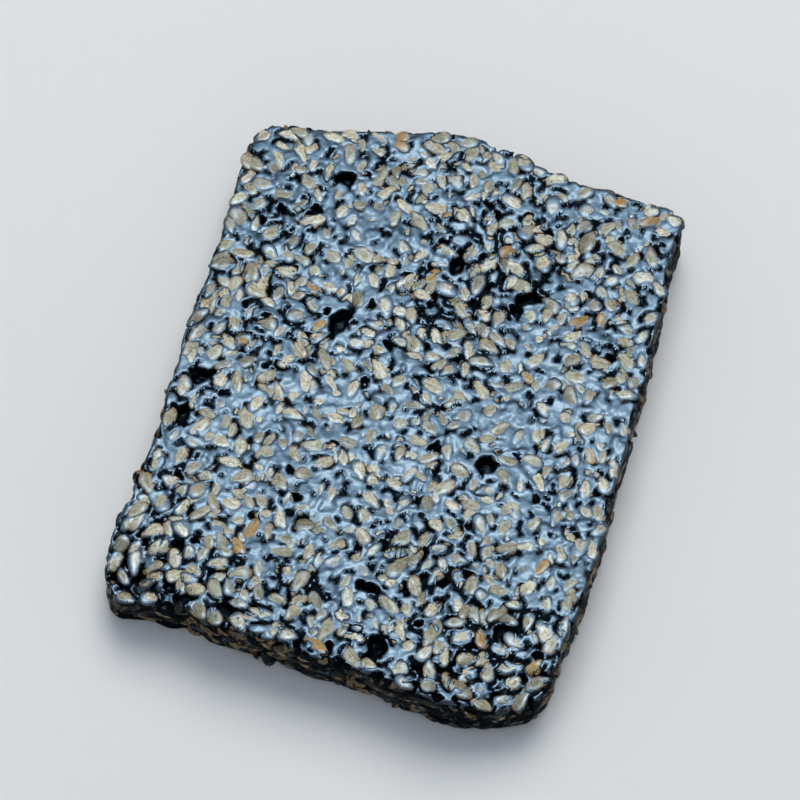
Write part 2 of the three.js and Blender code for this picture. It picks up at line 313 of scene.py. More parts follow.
def rim_pieces():
    """Start, control and end points of the corner curves and the straight cuts, in order."""
    corner = placed(RIM_CORNERS)
    rounding = np.array([spot.rounding for spot in RIM_CORNERS])[:, None]
    enter = corner + unit(np.roll(corner, 1, axis=0) - corner) * rounding
    leave = corner + unit(np.roll(corner, -1, axis=0) - corner) * rounding
    ahead = np.roll(enter, -1, axis=0)
    pairs = [(enter, leave), (corner, (leave + ahead) / 2), (leave, ahead)]
    return [np.stack(pair, axis=1).reshape(-1, 2) for pair in pairs]


def on_piece(piece, t):
    """Points of a piece of the rim, from its start at 0 to its end at 1."""
    start, bend, end = (points[piece] for points in PIECES)
    t = t[:, None]
    return (1 - t) ** 2 * start + 2 * t * (1 - t) * bend + t**2 * end


def piece_runs():
    """Lengths along each piece of the rim, up to each of its steps."""
    runs = []
    for piece in range(len(PIECES[0])):
        steps = np.diff(on_piece(piece, PIECE_STEPS), axis=0)
        runs.append(np.append(0, np.cumsum(np.linalg.norm(steps, axis=1))))
    return runs


PIECES = rim_pieces()
PIECE_STEPS = np.linspace(0, 1, PIECE_PARTS + 1)
PIECE_RUNS = piece_runs()
PIECE_STARTS = np.append(0, np.cumsum([run[-1] for run in PIECE_RUNS]))
PERIMETER = PIECE_STARTS[-1]


def rim_points(turns):
    """Points of the rim at turns from 0 to 1, once round, with the ripple of its cuts."""
    turns = np.asarray(turns, dtype=float) % 1.0
    far = turns * PERIMETER
    which = np.clip(np.searchsorted(PIECE_STARTS, far, side="right") - 1, 0, len(PIECE_RUNS) - 1)
    points = np.empty((len(turns), 2))
    for piece, run in enumerate(PIECE_RUNS):
        here = which == piece
        points[here] = on_piece(piece, np.interp(far[here] - PIECE_STARTS[piece], run, PIECE_STEPS))
    angle = turns * 2 * np.pi
    waves = sum(share * np.sin(number * angle + start) for share, number, start in WALL_WAVES)
    length = np.linalg.norm(points, axis=1)
    return points * ((length + WALL_RIPPLE * waves) / length)[:, None]


def corner_turn(corner):
    """How far round the rim the middle of a named corner is, from 0 to 1."""
    return (PIECE_STARTS[2 * corner] + PIECE_RUNS[2 * corner][-1] / 2) / PERIMETER


RIM = rim_points(np.arange(RIM_STEPS) / RIM_STEPS)
OUTLINE = rim_points(np.arange(RIM_SAMPLES) / RIM_SAMPLES)


def rim_share(points):
    """Each point's share of the way from the middle to the rim."""
    ahead = np.roll(RIM, -1, axis=0)
    area = RIM[:, 0] * ahead[:, 1] - RIM[:, 1] * ahead[:, 0]
    x, y = points[:, :1], points[:, 1:]
    towards_here = (x * ahead[:, 1] - y * ahead[:, 0]) / area
    towards_ahead = (RIM[:, 0] * y - RIM[:, 1] * x) / area
    step = np.argmax((towards_here >= 0) & (towards_ahead >= 0), axis=1)
    return (towards_here + towards_ahead)[np.arange(len(points)), step]


def rim_distance(points):
    """Distance of each point from the rim."""
    return np.array([np.linalg.norm(OUTLINE - point, axis=1).min() for point in points])


# The top's general form

def top_level(points):
    """Height of the top away from its rolled edge: a gentle ripple, less the slumps."""
    x, y = points[:, 0], points[:, 1]
    broad = BROAD_WAVE * np.sin(x / BROAD_ACROSS + BROAD_START) * np.cos(y / BROAD_ALONG)
    short = SHORT_WAVE * np.sin((x + y) / SHORT_LENGTH)
    level = THICKNESS + TOP_RIPPLE * (broad + short)
    for spot, slump in zip(placed(SLUMPS), SLUMPS):
        level -= slump.depth * hill(points, spot, slump.reach)
    return level


def worn(points):
    """How worn the top is: 1 in the middle of the worn corner, fading to 0."""
    return hill(points, placed([WORN_CORNER])[0], WORN_REACH * WORN_CORNER.reach)


def pit_reach(points, pit, margin=0.0):
    """Distance from a pit's middle as a share of the way to its edge, which a margin widens."""
    turn = math.radians(pit.turn)
    away = points - placed([pit])[0]
    along = away[:, 0] * math.cos(turn) + away[:, 1] * math.sin(turn)
    across = away[:, 1] * math.cos(turn) - away[:, 0] * math.sin(turn)
    return np.hypot(along / (pit.length / 2 + margin), across / (pit.width / 2 + margin))


def in_pit(points):
    """Whether a seed in each place would reach into a pit."""
    return np.any([pit_reach(points, pit, SEED[1] / 2) < 1 for pit in PITS], axis=0)


def rolled_level(points):
    """Height of the top with its rolled edge, which varies along the rim."""
    level = top_level(points)
    near = rim_share(points) > ROLL_ZONE
    edge = points[near]
    roll = EDGE_ROLL * (1 + uneven(edge, *ROLL_BUMPS))
    inward = np.clip(1 - rim_distance(edge) / roll, 0, 1)
    level[near] -= roll * (1 - np.sqrt(1 - inward**2))
    return level


def film_level(points):
    """Height of the syrup's film before seeds and gaps break it."""
    return rolled_level(points) + uneven(points, *FILM_BUMPS)


def at_front(points):
    """How far at the front each point is: 1 at the front edge, fading to 0."""
    return smooth(FRONT_FROM, FRONT_TO, -points[:, 1] / HALF[1])


def looseness(points):
    """How open the syrup is between the seeds: most round the dent, at the worn corner and in front."""
    loose = LOOSE_ALL + uneven(points, LOOSE_PATCHES)
    loose += LOOSE_IN_SPOT * hill(points, LOOSE_SPOT, LOOSE_REACH)
    loose += LOOSE_WORN * worn(points) + LOOSE_FRONT * at_front(points)
    return np.clip(loose, 0, 1)


# Seeds

@dataclass
class Seeds:
    """Seeds as arrays: middles, axes (length, width and thickness as columns) and half sizes."""

    middle: np.ndarray
    axes: np.ndarray
    half: np.ndarray

    def some(self, chosen):
        return Seeds(self.middle[chosen], self.axes[chosen], self.half[chosen])

    def and_others(self, others):
        pairs = zip((self.middle, self.axes, self.half), (others.middle, others.axes, others.half))
        return Seeds(*(np.concatenate(pair) for pair in pairs))


def spread(count, first_draw, candidates, gaps, taken=None):
    """Spreads places evenly: of a few candidates for each, the one furthest from the rest is kept."""
    numbers = first_draw + 2 * np.arange(count * TRIES)
    places, allowed = candidates(draw(numbers), draw(numbers + 1), np.arange(count * TRIES) // TRIES)
    kept = np.empty((0, 2)) if taken is None else taken
    for i in range(count):
        tries = slice(i * TRIES, (i + 1) * TRIES)
        if not allowed[tries].any():
            continue
        nearest = np.full(TRIES, float(LENGTH))
        if len(kept):
            nearest = np.minimum(nearest, gaps(places[tries], kept).min(axis=1))
        nearest[~allowed[tries]] = -1
        kept = np.vstack([kept, places[tries][np.argmax(nearest)]])
    return kept


def flat_gaps(places, others):
    return np.linalg.norm(places[:, None] - others[None], axis=2)


def flat_candidates(margin, keep_off=None):
    """Candidates inside a share of the rim that don't lie where a test says to keep off."""

    def candidates(u, v, _):
        points = (2 * np.column_stack([u, v]) - 1) * HALF
        allowed = rim_share(points) < margin
        if keep_off:
            allowed &= ~keep_off(points)
        return points, allowed

    return candidates


def edge_places():
    """Places and turns of the seeds along the rim, which mostly lie the way it runs."""
    i = np.arange(EDGE_SEEDS)
    turns = (i + EDGE_JITTER * draw(i + 0.33)) / EDGE_SEEDS
    rim = rim_points(turns)
    ahead = unit(rim_points(turns + SHORT_TURN) - rim)
    inward = drawn(NEAREST_EDGE, FURTHEST_EDGE, i + 0.44)
    places = rim + np.column_stack([-ahead[:, 1], ahead[:, 0]]) * inward[:, None]
    return places, np.arctan2(ahead[:, 1], ahead[:, 0]) + drawn(-EDGE_SWING, EDGE_SWING, i + 0.36)


def seed_sizes(count, fused):
    """Size of each seed as a share of the named size: the fused ones come first, then the fillers."""
    i = np.arange(count)
    fused_size = LARGEST_SEED + (SMALLEST_SEED - LARGEST_SEED) * i / fused
    filler_size = SMALLEST_SEED + (SMALLEST_FILLER - SMALLEST_SEED) * (i - fused) / (count - fused)
    return np.where(i < fused, fused_size, filler_size)[:, None]


def spine(points, spin, half):
    """Points along each seed's length."""
    direction = np.column_stack([np.cos(spin), np.sin(spin)])
    steps = np.linspace(-1, 1, SPINE_POINTS)[None, :, None]
    return points[:, None] + direction[:, None] * (half[:, 0] - half[:, 1])[:, None, None] * steps


def settle_spins(points, spin, half, first):
    """Turns the seeds from first on to fit best between those before. Gives turns and overlaps."""
    overlap = np.zeros(len(points))
    for i in range(first, len(points)):
        near = np.flatnonzero(np.linalg.norm(points[:i] - points[i], axis=1) < NEIGHBOURHOOD)
        if not len(near):
            continue
        others = spine(points[near], spin[near], half[near])
        angles = spin[i] + np.arange(TURNS_TRIED) * np.pi / TURNS_TRIED
        same = np.full(TURNS_TRIED, i)
        mine = spine(points[same], angles, half[same])
        gaps = np.linalg.norm(mine[:, None, :, None] - others[None, :, None], axis=4).min(axis=(2, 3))
        tried = np.clip(half[i, 1] + half[near, 1] - gaps, 0, None).sum(axis=1)
        spin[i] = angles[np.argmin(tried)]
        overlap[i] = tried.min()
    return spin, overlap


def turned(angles, axis):
    """Rotation matrices about axis 0, 1 or 2."""
    cos, sin = np.cos(angles), np.sin(angles)
    matrix = np.zeros((len(angles), 3, 3))
    first, second = (axis + 1) % 3, (axis + 2) % 3
    matrix[:, axis, axis] = 1
    matrix[:, first, first] = cos
    matrix[:, second, second] = cos
    matrix[:, first, second] = -sin
    matrix[:, second, first] = sin
    return matrix


def top_axes(points):
    """Axes that lie on the top, with the third one out of it."""
    rises = [rolled_level(points + step) - rolled_level(points - step) for step in SLOPE_STEP * np.eye(2)]
    rise_x, rise_y = np.array(rises) / (2 * SLOPE_STEP)
    out = unit(np.column_stack([-rise_x, -rise_y, np.ones(len(points))]))
    along = unit(np.column_stack([np.ones(len(points)), np.zeros(len(points)), rise_x]))
    return np.stack([along, np.cross(out, along), out], axis=2)


def covered(count):
    """Which of the top's seeds the syrup covers, so that they only show as lumps of it."""
    i = np.arange(count)
    return (i >= FUSED_TOP) & (draw(i + 0.66) < COVERED_SHARE)


def leaning(numbers):
    """Tilts of seeds: most of them slight, a few strong."""
    way = drawn(-1, 1, numbers)
    return SEED_TILT * way + STRONG_TILT * way**5


def top_places():
    """Places, half sizes, turns and overlaps of the top's seeds: fused, along the rim, then fillers."""
    fused = spread(FUSED_TOP, TOP_DRAWS, flat_candidates(FUSED_MARGIN, in_pit), flat_gaps)
    edge, edge_spin = edge_places()
    taken = np.vstack([fused, edge])
    filler_draws = TOP_DRAWS + 2 * FUSED_TOP * TRIES
    points = spread(TOP_FILLERS, filler_draws, flat_candidates(FILLER_MARGIN, in_pit), flat_gaps, taken)
    i = np.arange(len(points))
    jitter = [drawn(1 - SIZE_JITTER, 1 + SIZE_JITTER, i + fraction) for fraction in (0.5, 0.6, 0.7)]
    half = SEED / 2 * seed_sizes(len(points), FUSED_TOP) * np.column_stack(jitter)
    spin = drawn(0, 2 * np.pi, i + 0.3)
    spin[len(fused):len(taken)] = edge_spin
    return points, half, *settle_spins(points, spin, half, len(taken))


def top_seeds():
    """Seeds of the top, which lie in its film."""
    points, half, spin, overlap = top_places()
    i = np.arange(len(points))
    rougher = 1 + WORN_TILT * worn(points)
    lean = turned(leaning(i + 0.2) * rougher, 1) @ turned(leaning(i + 0.1) * rougher, 0)
    axes = top_axes(points) @ turned(spin, 2) @ lean
    proud = drawn(LOWEST_SEED, HIGHEST_SEED, i + 0.8) + LOOSE_RISE * looseness(points)
    proud -= np.minimum(TUCK * overlap, DEEPEST_TUCK)
    face = np.column_stack([points, film_level(points)])
    middle = face + axes[:, :, 2] * (proud - half[:, 2])[:, None]
    return Seeds(middle, axes, half)


def rim_frame(turns):
    """Place on the rim, the way the rim runs there and how far it bends, at the solid's own steps."""
    step = np.floor(turns * RIM_STEPS).astype(int)
    at = [RIM[(step + n) % RIM_STEPS] for n in (-1, 0, 1, 2)]
    place = at[1] + (at[2] - at[1]) * (turns * RIM_STEPS - step)[:, None]
    before, along, after = (unit(at[n + 1] - at[n]) for n in range(3))
    bend = np.arccos(np.clip((before * after).sum(axis=1), -1, 1))
    return place, along, bend


def wall_candidates(u, v, i):
    """Candidates on the walls: how far round the rim, and the height."""
    place, _, bend = rim_frame(u)
    fused = i < FUSED_WALL
    highest = top_level(place) - np.where(fused, WALL_SEED_TOP, WALL_FILLER_TOP)
    lowest = np.where(fused, WALL_SEED_FOOT, WALL_FILLER_FOOT)
    return np.column_stack([u, lowest + v * (highest - lowest)]), ~fused | (bend < SHARP_BEND)


def wall_gaps(places, others):
    apart = np.abs(places[:, None, 0] - others[None, :, 0])
    around = np.minimum(apart, 1 - apart) * 2 * (WIDTH + LENGTH)
    return np.hypot(around, places[:, None, 1] - others[None, :, 1])


def wall_seeds():
    """Seeds of the cut walls: the fused ones flat against the wall, the others mostly edge on."""
    places = spread(WALL_SEEDS, WALL_DRAWS, wall_candidates, wall_gaps)
    i = np.arange(len(places))
    place, along, _ = rim_frame(places[:, 0])
    up = np.tile([0.0, 0.0, 1.0], (len(i), 1))
    run = np.column_stack([along, np.zeros(len(i))])
    out = np.cross(run, up)
    half = SEED / 2 * seed_sizes(len(i), FUSED_WALL)
    strip = places * (PERIMETER, 1)
    spin, overlap = settle_spins(strip, drawn(0, 2 * np.pi, i + 0.4), half, FUSED_WALL)
    flat = np.stack([run, up, out], axis=2) @ turned(spin, 2)
    edge_on = flat @ turned(drawn(-EDGE_ON_TILT, EDGE_ON_TILT, i + 0.45), 0)
    axes = np.where((i < FUSED_WALL)[:, None, None], flat, edge_on)
    sink = drawn(SHALLOWEST_SINK, DEEPEST_SINK, i + 0.55) + np.minimum(TUCK * overlap, DEEPEST_TUCK)
    middle = np.column_stack([place, places[:, 1]]) - out * sink[:, None]
    return Seeds(middle, axes, half)


def under_seeds():
    """Seeds of the pressed underside, which lie nearly flush with it."""
    points = spread(UNDER_SEEDS, UNDER_DRAWS, flat_candidates(UNDER_MARGIN), flat_gaps)
    i = np.arange(len(points))
    half = SEED / 2 * drawn(SMALLEST_UNDER, LARGEST_UNDER, i + 0.9)[:, None]
    spin, _ = settle_spins(points, drawn(0, 2 * np.pi, i + 0.35), half, 1)
    height = half[:, 2] + drawn(0, UNDER_LIFT * UNDERSIDE, i + 0.95)
    return Seeds(np.column_stack([points, height]), turned(spin, 2), half)


# Seed meshes

SEED_RINGS = (0.35, 0.62, 0.84, 0.96, 1.0)  # shares of the outline, from the top's middle outwards
SEED_UNDER_RINGS = (0.72,)  # and on the underside
SEED_SPOKES = 16
SEED_TAPER, LEAST_TAPER, MOST_TAPER = 0.26, 0.5, 1.5  # the last two are shares of the first
SEED_LUMPS = [(2, 0.05, 0.31), (3, 0.04, 0.32)]  # number round the outline, size, draw for the start
SEED_BOW = 0.12
SEED_DENT, DENTS_ALONG, DENTS_ACROSS = 0.09, 2.3, 2.1
WAVE_STARTS = 6.3  # lumps and dents start anywhere in a turn
SEED_FLATNESS = 2.8
LOWEST_CORNER = 0.02  # above the floor
FILM_SPREAD = 0.45  # how much more film there is on some seeds


def seed_template():
    """Unit seed: share of the outline, side (up or down) and angle of each corner, and faces."""
    rings = [(share, 1) for share in SEED_RINGS] + [(share, -1) for share in SEED_UNDER_RINGS]
    share = np.repeat([ring[0] for ring in rings], SEED_SPOKES)
    side = np.repeat([ring[1] for ring in rings], SEED_SPOKES)
    angle = np.tile(np.arange(SEED_SPOKES) * 2 * np.pi / SEED_SPOKES, len(rings))
    top, under = len(share), len(share) + 1
    last = (len(rings) - 1) * SEED_SPOKES
    faces = []
    for k in range(SEED_SPOKES):
        ahead = (k + 1) % SEED_SPOKES
        faces.append((top, k, ahead))
        faces.append((under, last + ahead, last + k))
        for low in range(0, last, SEED_SPOKES):
            high = low + SEED_SPOKES
            faces.append((low + k, high + k, high + ahead, low + ahead))
    return np.append(share, [0, 0]), np.append(side, [1, -1]), np.append(angle, [0, 0]), faces


def seed_corners(numbers, share, side, angle):
    """Corners of seeds as shares of their half sizes, each seed with lumps, a bow and dents of its own."""
    lumps = 0
    for number, size, fraction in SEED_LUMPS:
        lumps = lumps + size * np.sin(number * angle + drawn(0, WAVE_STARTS, numbers + fraction))
    reach = share * (1 + lumps)
    taper = SEED_TAPER * drawn(LEAST_TAPER, MOST_TAPER, numbers + 0.15)
    bow = drawn(-SEED_BOW, SEED_BOW, numbers + 0.25)
    x = reach * np.cos(angle)
    y = reach * np.sin(angle) * (1 - taper * x) + bow * (1 - x**2) * share
    along, across = (drawn(0, WAVE_STARTS, numbers + fraction) for fraction in (0.33, 0.34))
    dents = SEED_DENT * np.sin(DENTS_ALONG * x + along) * np.cos(DENTS_ACROSS * y + across)
    z = side * (1 - share**SEED_FLATNESS) ** 0.5 + dents
    return np.stack([x, y, z], axis=2)


def smooth_mesh(name, points, faces):
    mesh = bpy.data.meshes.new(name)
    mesh.from_pydata(points * MM, [], faces)
    mesh.polygons.foreach_set("use_smooth", np.ones(len(faces), dtype=bool))
    return mesh


def seed_mesh(name, seeds, first_draw, rim_film):
    """One joined mesh of these seeds, whose corners carry the marks that their material reads."""
    share, side, angle, faces = seed_template()
    count, corners = len(seeds.middle), len(share)
    numbers = np.arange(count)[:, None] + first_draw
    local = seed_corners(numbers, share, side, angle)
    points = seeds.middle[:, None] + np.einsum("nij,nvj->nvi", seeds.axes, local * seeds.half[:, None])
    points[:, :, 2] = np.maximum(points[:, :, 2], LOWEST_CORNER)
    joined = [tuple(n * corners + corner for corner in face) for n in range(count) for face in faces]
    mesh = smooth_mesh(name, points.reshape(-1, 3), joined)
    film = rim_film * share + FILM_SPREAD * draw(numbers + 0.35) ** 2
    tone = np.broadcast_to(draw(numbers), film.shape)
    along, across = local[:, :, 0] / 2 + 0.5, local[:, :, 1] / 2 + 0.5
    marks = np.stack([tone, along, film, across], axis=2)
    colours = mesh.color_attributes.new("seed_marks", "FLOAT_COLOR", "POINT")
    colours.data.foreach_set("color", marks.ravel())
    return mesh


# The syrup

def seed_outline_distance(points, seeds, n):
    """Distance of points outside seed n's outline, seen from above."""
    length_axis = unit(seeds.axes[n, :2, 0])
    away = points - seeds.middle[n, :2]
    along = away @ length_axis
    across = away @ np.array([-length_axis[1], length_axis[0]])
    x = along / seeds.half[n, 0]
    reach = np.hypot(x, across / (seeds.half[n, 1] * (1 - SEED_TAPER * np.clip(x, -1, 1))))
    return np.hypot(along, across) * (1 - 1 / np.maximum(reach, LEAST_REACH))


def near_seed(points, seeds, n):
    """Numbers of the points whose film seed n may shape."""
    reach = seeds.half[n, 0] + SEED_REACH
    return np.flatnonzero((np.abs(points - seeds.middle[n, :2]) < reach).all(axis=1))


def seed_relief(points, seeds):
    """What the seeds do to the film: the depth of the cracks beside them, and how it climbs up them."""
    crack, climb, bare = np.zeros((3, len(points)))
    face = seeds.middle[:, 2] + seeds.half[:, 2] * seeds.axes[:, 2, 2]
    proud = face - film_level(seeds.middle[:, :2])
    hidden = covered(len(proud))
    rise = np.where(hidden, LUMP, proud - BARE)
    for n in range(len(proud)):
        near = near_seed(points, seeds, n)
        far = seed_outline_distance(points[near], seeds, n)
        crack[near] = np.maximum(crack[near], np.exp(-(((far - CRACK_PLACE) / CRACK_WIDTH) ** 2)))
        climb[near] = np.maximum(climb[near], rise[n] * smooth(-CLIMB_FROM, -CLIMB_TO, -far))
        if not hidden[n]:
            bare[near] = np.maximum(bare[near], smooth(BARE_FROM, BARE_TO, -far))
    level = CRACK_LEVEL - CRACK_LOOSER * looseness(points)
    opened = smooth(0, CRACK_FADE, uneven(points, CRACK_BUMPS) - level)
    return CRACK_DEPTH * crack * opened, climb - BARE_DIP * bare


def strands(points, cell):
    """Distance of each point from the nearest strand of a web, and a draw for the cell it is in."""
    bent = points + np.column_stack([uneven(points, bend) for bend in WEB_BENDS])
    far_off, number = np.empty((2, len(points)))
    for n, spot in enumerate(bent / cell):
        (near, far, *_), (first, second, *_) = noise.voronoi(Vector((*spot, WEB_LAYER)))
        far_off[n] = (far**2 - near**2) / (2 * (second - first).length)
        number[n] = round(sum(weight * part for weight, part in zip(CELL_WEIGHTS, first)), CELL_DIGITS)
    return far_off * cell, draw(number)


def web_gaps(points, web, share):
    """Where a web's gaps are, with this share of its cells open, and where the strands round them rise."""
    far_off, number = strands(points, web.cell)
    opened = smooth(0, GAP_FADE, share - number)
    hollow = smooth(web.thin, web.thick, far_off)
    return opened * hollow, opened * (1 - hollow)


def gap_relief(points):
    """Depth of the gaps in the film, more of them where it is loose, and the height of its strands."""
    loose = looseness(points)
    fine, fine_lip = web_gaps(points, FINE_WEB, FEWEST_GAPS + MORE_GAPS * loose)
    wide, wide_lip = web_gaps(points, WIDE_WEB, WIDE_GAPS * loose * at_front(points))
    return GAP_DEPTH * np.maximum(fine, wide), GAP_LIP * np.maximum(fine_lip, WIDE_LIP * wide_lip)


def pit_depth(points):
    """Depth of the named pits, with ragged edges."""
    reach = np.min([pit_reach(points, pit) for pit in PITS], axis=0)
    return PIT_DEPTH * (1 - smooth(PIT_FLOOR, PIT_RIM, reach * (1 + uneven(points, *PIT_BUMPS))))


def syrup_level(points, seeds):
    """Height of the syrup's fine surface, and how deep it is sunk there in gaps, pits and cracks."""
    crack, climb = seed_relief(points, seeds)
    gap, lip = gap_relief(points)
    sunk = np.maximum(np.maximum(gap, crack), pit_depth(points))
    level = film_level(points) + climb + lip - sunk
    level += worn(points) * (uneven(points, WORN_BUMPS) - WORN_SINK)
    return level, sunk


def border_turns(across, along):
    """Turns round the rim of a grid's border, anticlockwise from its front left corner."""
    right_back, left_back, left_front, right_front = map(
        corner_turn, (BACK_RIGHT, BACK_LEFT, FRONT_LEFT, FRONT_RIGHT)
    )
    u, v = np.arange(across) / across, np.arange(along) / along
    front = left_front + (right_front - left_front) * u
    right = right_front + (1 + right_back - right_front) * v
    back = right_back + (left_back - right_back) * u
    left = left_back + (left_front - left_back) * v
    return np.concatenate([front, right, back, left])


def filled_ring(ring, across, along):
    """A grid inside a ring that runs anticlockwise from its front left corner, with no folded cell."""
    around = np.vstack([ring, ring[:1]])
    front, right = around[:across + 1], around[across:across + along + 1]
    back = around[across + along:2 * across + along + 1][::-1]
    left = around[2 * across + along:][::-1]
    u, v = np.linspace(0, 1, across + 1)[None, :, None], np.linspace(0, 1, along + 1)[:, None, None]
    sides = (1 - v) * front[None] + v * back[None] + (1 - u) * left[:, None] + u * right[:, None]
    corners = (1 - v) * ((1 - u) * front[0] + u * front[-1]) + v * ((1 - u) * back[0] + u * back[-1])
    grid = sides - corners
    for _ in range(EVENING_ROUNDS):
        grid[1:-1, 1:-1] = (grid[:-2, 1:-1] + grid[2:, 1:-1] + grid[1:-1, :-2] + grid[1:-1, 2:]) / 4
    return grid


def grid_faces(numbers):
    a, b = numbers[:-1, :-1], numbers[:-1, 1:]
    c, d = numbers[1:, 1:], numbers[1:, :-1]
    return np.stack([a, b, c, d], axis=2).reshape(-1, 4)


def border(numbers):
    """Numbers round a grid, anticlockwise from its front left corner."""
    return np.concatenate([numbers[0], numbers[1:, -1], numbers[-1, -2::-1], numbers[-2:0:-1, 0]])


def ring_faces(upper, lower):
    return np.column_stack([lower, np.roll(lower, -1), np.roll(upper, -1), upper])


def outward(ring):
    """Directions out of a closed ring of points that runs anticlockwise."""
    ahead = unit(np.roll(ring, -1, axis=0) - np.roll(ring, 1, axis=0))
    return np.column_stack([ahead[:, 1], -ahead[:, 0]])


def bitten(rim):
    """The rim as the syrup leaves it: broken back here and there between the seeds."""
    bites = smooth(BITE_FROM, BITE_TO, uneven(rim, BITES)) + uneven(rim, SMALL_BITES)
    return rim - outward(rim) * (EDGE_BITE * np.clip(bites, 0, 1))[:, None]


def wall_ring(edge, rim, share):
    """A ring of the lumpy wall, from the top's edge at share 0 to the foot at share 1."""
    height = edge[:, 2] + (FOOT_ROLL - edge[:, 2]) * share
    lumps = uneven(np.column_stack([rim, height]), *WALL_LUMPS)
    moved = smooth(0, LUMPS_SETTLE, share) * (lumps + uneven(rim, WALL_LEAN) * share)
    place = edge[:, :2] + (rim - edge[:, :2]) * smooth(0, WALL_SETTLES, share)
    return np.column_stack([place + outward(rim) * moved[:, None], height])


class Skin:
    """Corners and faces of a mesh that grows part by part, and the number of each face's finish."""

    def __init__(self):
        self.points, self.faces, self.finishes = np.empty((0, 3)), [], []

    def add(self, points):
        numbers = len(self.points) + np.arange(len(points))
        self.points = np.vstack([self.points, points])
        return numbers

    def cover(self, faces, finish):
        self.faces.extend(faces.tolist())
        self.finishes.extend(np.broadcast_to(finish, len(faces)).tolist())

    def mesh(self, name):
        mesh = smooth_mesh(name, self.points, self.faces)
        mesh.polygons.foreach_set("material_index", self.finishes)
        return mesh


# Finishes of the syrup: glossy, and dull ones that paint shade into the hollows and onto the cut walls.
GLOSSY, PAINTED_SHADE_HOLLOW, PAINTED_SHADE_CUT = range(3)


def add_top(skin, rim, seeds):
    """The fine top, with its cracks and pits in a dull finish of their own, painted shade where their
    walls would hide reflections. Gives its border.
    """
    flat = filled_ring(bitten(rim), CELLS_ACROSS, CELLS_ALONG).reshape(-1, 2)
    level, sunk = syrup_level(flat, seeds)
    numbers = skin.add(np.column_stack([flat, level])).reshape(CELLS_ALONG + 1, CELLS_ACROSS + 1)
    faces = grid_faces(numbers)
    skin.cover(faces, np.where(sunk[faces].mean(axis=1) > HOLLOW_DEPTH, PAINTED_SHADE_HOLLOW, GLOSSY))
    return border(numbers)


def add_walls(skin, rim, ring):
    """The lumpy walls below the top's border and the flat underside, which is a fan, in the cut finish:
    rough as cut, and darkened with painted shade.
    """
    edge = skin.points[ring]
    rings = [wall_ring(edge, rim, n / WALL_RINGS) for n in range(1, WALL_RINGS + 1)]
    foot = rings[-1][:, :2] - outward(rim) * FOOT_ROLL
    for share in UNDERSIDE_RINGS:
        rings.append(np.column_stack([foot * share, np.full(len(foot), UNDERSIDE)]))
    for points in rings:
        lower = skin.add(points)
        skin.cover(ring_faces(ring, lower), PAINTED_SHADE_CUT)
        ring = lower
    middle = np.full_like(ring, skin.add(np.array([[0, 0, UNDERSIDE]]))[0])
    skin.cover(np.column_stack([middle, np.roll(ring, -1), ring]), PAINTED_SHADE_CUT)


def syrup_mesh(seeds):
    """The closed body of syrup, round the seeds of its top."""
    skin = Skin()
    rim = rim_points(border_turns(CELLS_ACROSS, CELLS_ALONG))
    add_walls(skin, rim, add_top(skin, rim, seeds))
    return skin.mesh("cake_syrup")


# Materials

class Nodes:
    """A tree of shader nodes that grows node by node."""

    def __init__(self, tree):
        self.tree = tree

    def put(self, node, values):
        """Puts numbers, colours and other nodes' outputs on a node's inputs."""
        for name, value in values.items():
            socket = node.inputs[name]
            if isinstance(value, bpy.types.NodeSocket):
                self.tree.links.new(value, socket)
            else:
                socket.default_value = (*value, 1) if socket.type == "RGBA" else value

    def add(self, kind, values=None, **settings):
        node = self.tree.nodes.new("ShaderNode" + kind)
        for name, value in settings.items():
            setattr(node, name, value)
        self.put(node, values or {})
        return node

    def ramp(self, value, stops):
        """Goes through colours as a value goes through their positions."""
        node = self.add("ValToRGB", {"Fac": value})
        elements = node.color_ramp.elements
        while len(elements) < len(stops):
            elements.new(0.5)
        for element, (position, colour) in zip(elements, stops):
            element.position = position
            element.color = (*colour, 1)
        return node.outputs["Color"]


class Finish(Nodes):
    """A material, with the nodes that make its shader uneven."""

    def __init__(self, name):
        self.material = bpy.data.materials.new(name)
        self.material.use_nodes = True
        super().__init__(self.material.node_tree)
        self.place = self.add("TexCoord").outputs["Object"]

    def noise(self, scale, detail=3.0, place=None):
        """Noise with this many bumps to the metre, or to the unit of a place that is given."""
        values = {"Vector": place or self.place, "Scale": scale, "Detail": detail, "Roughness": 0.55}
        return self.add("TexNoise", values).outputs["Fac"]

    def bump(self, height, distance):
        values = {"Height": height, "Strength": 1.0, "Distance": distance}
        return self.add("Bump", values).outputs["Normal"]

    def mix(self, share, first, second, blend="MIX"):
        """Mixes two colours. The node's sockets go by number, because their names repeat."""
        node = self.add("Mix", data_type="RGBA", blend_type=blend)
        self.put(node, {0: share, 6: first, 7: second})
        return node.outputs[2]

    def between(self, value, low, high, least=0.0, most=1.0):
        """Goes from least to most as a value goes from low to high."""
        values = {"Value": value, "From Min": low, "From Max": high, "To Min": least, "To Max": most}
        return self.add("MapRange", values).outputs["Result"]

    def shade(self, values):
        """Puts values on the shader, and gives the material."""
        self.put(self.tree.nodes["Principled BSDF"], values)
        return self.material


def grey(value):
    return (value, value, value)


def syrup_finish():
    """Set black syrup: nearly black, glossy, uneven in gloss and finely dimpled."""
    finish = Finish("set_black_syrup")
    tints = [(0.3, (0.004, 0.004, 0.005)), (0.75, (0.014, 0.012, 0.011))]
    return finish.shade({
        "Base Color": finish.ramp(finish.noise(420), tints),
        "Roughness": finish.ramp(finish.noise(900), [(0.3, grey(0.13)), (0.7, grey(0.28))]),
        "IOR": 1.5,
        "Normal": finish.bump(finish.noise(1150, detail=1.0), 0.07 * MM),
    })


